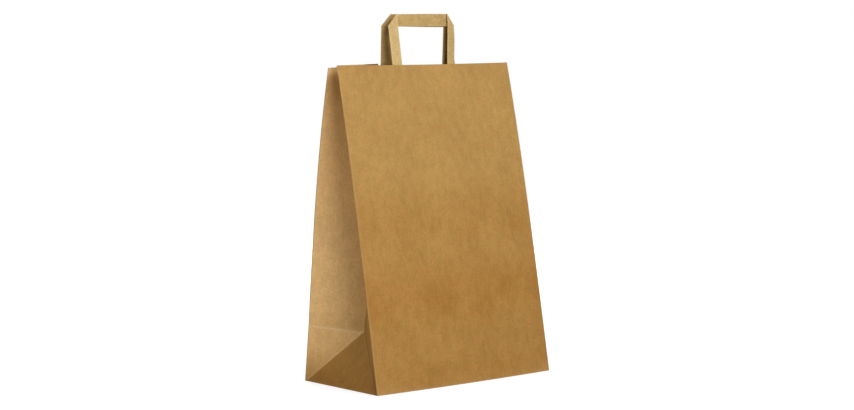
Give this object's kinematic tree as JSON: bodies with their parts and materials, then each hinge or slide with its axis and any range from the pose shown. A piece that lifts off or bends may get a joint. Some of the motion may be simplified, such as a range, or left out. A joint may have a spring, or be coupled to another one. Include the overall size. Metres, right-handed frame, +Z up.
{
  "type": "paper carrier bag",
  "caption": "Upright brown kraft paper carrier bag with folded side gussets, a flat block bottom and flat folded paper handles glued inside the mouth, for carrying shopping.",
  "frame": {"origin": "on the ground under the middle of the base", "axes": "+Z up, +X to the right across the front panel, front panel towards -Y"},
  "size_m": [0.32, 0.168, 0.5118],
  "materials": {
    "kraft_sheet": "matte uncoated brown kraft, faintly ribbed",
    "kraft_strip": "matte uncoated kraft, folded strip, a little paler than the sheet",
    "kraft_patch": "matte uncoated brown kraft"
  },
  "bodies": {
    "root": {"bag_body": "kraft_sheet", "front_handle": "kraft_strip", "rear_handle": "kraft_strip", "front_handle_patch": "kraft_patch", "rear_handle_patch": "kraft_patch"}
  },
  "joints": []
}
